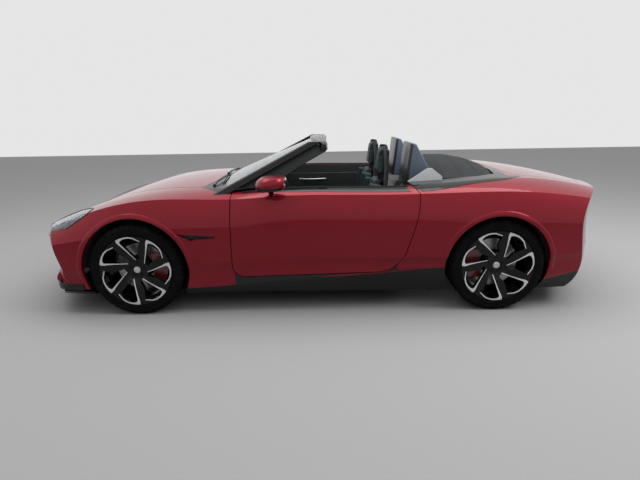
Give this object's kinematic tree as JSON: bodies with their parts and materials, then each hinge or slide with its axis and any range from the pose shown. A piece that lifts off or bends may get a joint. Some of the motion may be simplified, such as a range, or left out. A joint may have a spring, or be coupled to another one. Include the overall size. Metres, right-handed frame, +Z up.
{
  "type": "roadster convertible",
  "caption": "Low two-seat electric roadster with its soft top folded, raked windscreen, upward-swinging doors, twin roll hoops and large alloy wheels.",
  "frame": {"origin": "on the ground under the middle of the car", "axes": "+Z up, -X forward to the nose, -Y to the car's left"},
  "size_m": [4.5372, 2.1724, 1.276],
  "materials": {
    "body_paint": "metallic red, clear coat",
    "black_gloss": "gloss black trim",
    "black_satin": "grained black plastic",
    "lamp_lens": "smoked lens",
    "tail_lens": "red lens",
    "glass": "clear laminated",
    "rim_black": "gloss black with machined edges",
    "tyre": "black rubber",
    "steel": "cast and machined steel",
    "caliper": "red caliper paint",
    "chassis": "cast and extruded aluminium",
    "battery": "black coated case",
    "seat_trim": "dark green grey trim",
    "soft_top": "dark woven roof fabric",
    "flap_silver": "pale silver",
    "hoop_grey": "blue grey",
    "carpet": "black carpet"
  },
  "bodies": {
    "root": {"battery_pack": "battery", "bay_cover": "black_satin", "boot_tub": "carpet", "caliper_rear_left": "caliper", "caliper_rear_right": "caliper", "centre_console": "black_satin", "cowl_panel": "black_satin", "dashboard": "black_satin", "drive_unit": "chassis", "floor_pan": "carpet", "front_bumper": "body_paint", "front_grille": "black_satin", "front_splitter": "black_satin", "front_subframe": "chassis", "front_wing_left": "body_paint", "front_wing_right": "body_paint", "headlamps": "lamp_lens", "rear_bumper": "body_paint", "rear_diffuser": "black_satin", "rear_quarter_left": "body_paint", "rear_quarter_right": "body_paint", "rear_subframe": "chassis", "roll_hoops": "hoop_grey", "roof_cover": "soft_top", "roof_flaps": "flap_silver", "roof_surround": "black_gloss", "seat_left": "seat_trim", "seat_right": "seat_trim", "sills": "body_paint", "skirts": "black_satin", "tail_lamps": "tail_lens", "wheel_liners": "black_satin", "windscreen_frame": "black_gloss", "windscreen_glass": "glass"},
    "bonnet": {"bonnet": "body_paint"},
    "boot_lid": {"boot_lid": "body_paint"},
    "steering_wheel": {"steering_wheel": "seat_trim"},
    "door_left": {"door_left": "body_paint", "mirror_left": "body_paint"},
    "front_hub_left": {"knuckle_left": "steel", "caliper_front_left": "caliper"},
    "front_wheel_left": {"rim_front_left": "rim_black", "tyre_front_left": "tyre"},
    "rear_wheel_left": {"rim_rear_left": "rim_black", "tyre_rear_left": "tyre"},
    "door_right": {"door_right": "body_paint", "mirror_right": "body_paint"},
    "front_hub_right": {"knuckle_right": "steel", "caliper_front_right": "caliper"},
    "front_wheel_right": {"rim_front_right": "rim_black", "tyre_front_right": "tyre"},
    "rear_wheel_right": {"rim_rear_right": "rim_black", "tyre_rear_right": "tyre"}
  },
  "joints": [
    {"name": "bonnet_hinge", "type": "hinge", "parent": "root", "child": "bonnet", "pos_m": [-0.7, 0, 0.962], "axis": [0, 1, 0], "range_deg": [0, 50]},
    {"name": "boot_lid_hinge", "type": "hinge", "parent": "root", "child": "boot_lid", "pos_m": [1.503, 0, 0.992], "axis": [0, -1, 0], "range_deg": [0, 60]},
    {"name": "steering_wheel_turn", "type": "hinge", "parent": "root", "child": "steering_wheel", "pos_m": [-0.225, -0.37, 0.8], "axis": [0.9272, 0, 0.3746], "range_deg": [-400, 400]},
    {"name": "steer_left", "type": "hinge", "parent": "root", "child": "front_hub_left", "pos_m": [-1.3525, -0.745, 0.352], "axis": [0, 0, 1], "range_deg": [-33, 33]},
    {"name": "front_wheel_spin_left", "type": "hinge", "parent": "front_hub_left", "child": "front_wheel_left", "pos_m": [-1.3525, -0.8075, 0.352], "axis": [0, 1, 0], "continuous": true},
    {"name": "rear_wheel_spin_left", "type": "hinge", "parent": "root", "child": "rear_wheel_left", "pos_m": [1.3375, -0.7925, 0.35], "axis": [0, 1, 0], "continuous": true},
    {"name": "door_left_hinge", "type": "hinge", "parent": "root", "child": "door_left", "pos_m": [-0.66, -0.86, 0.945], "axis": [-0.24, -0.92, -0.31], "range_deg": [0, 66]},
    {"name": "steer_right", "type": "hinge", "parent": "root", "child": "front_hub_right", "pos_m": [-1.3525, 0.745, 0.352], "axis": [0, 0, 1], "range_deg": [-33, 33]},
    {"name": "front_wheel_spin_right", "type": "hinge", "parent": "front_hub_right", "child": "front_wheel_right", "pos_m": [-1.3525, 0.8075, 0.352], "axis": [0, 1, 0], "continuous": true},
    {"name": "rear_wheel_spin_right", "type": "hinge", "parent": "root", "child": "rear_wheel_right", "pos_m": [1.3375, 0.7925, 0.35], "axis": [0, 1, 0], "continuous": true},
    {"name": "door_right_hinge", "type": "hinge", "parent": "root", "child": "door_right", "pos_m": [-0.66, 0.86, 0.945], "axis": [0.24, -0.92, 0.31], "range_deg": [0, 66]}
  ],
  "couplings": [
    {"joint": "steer_right", "follows": "steer_left", "ratio": 1},
    {"joint": "steering_wheel_turn", "follows": "steer_left", "ratio": 12}
  ]
}
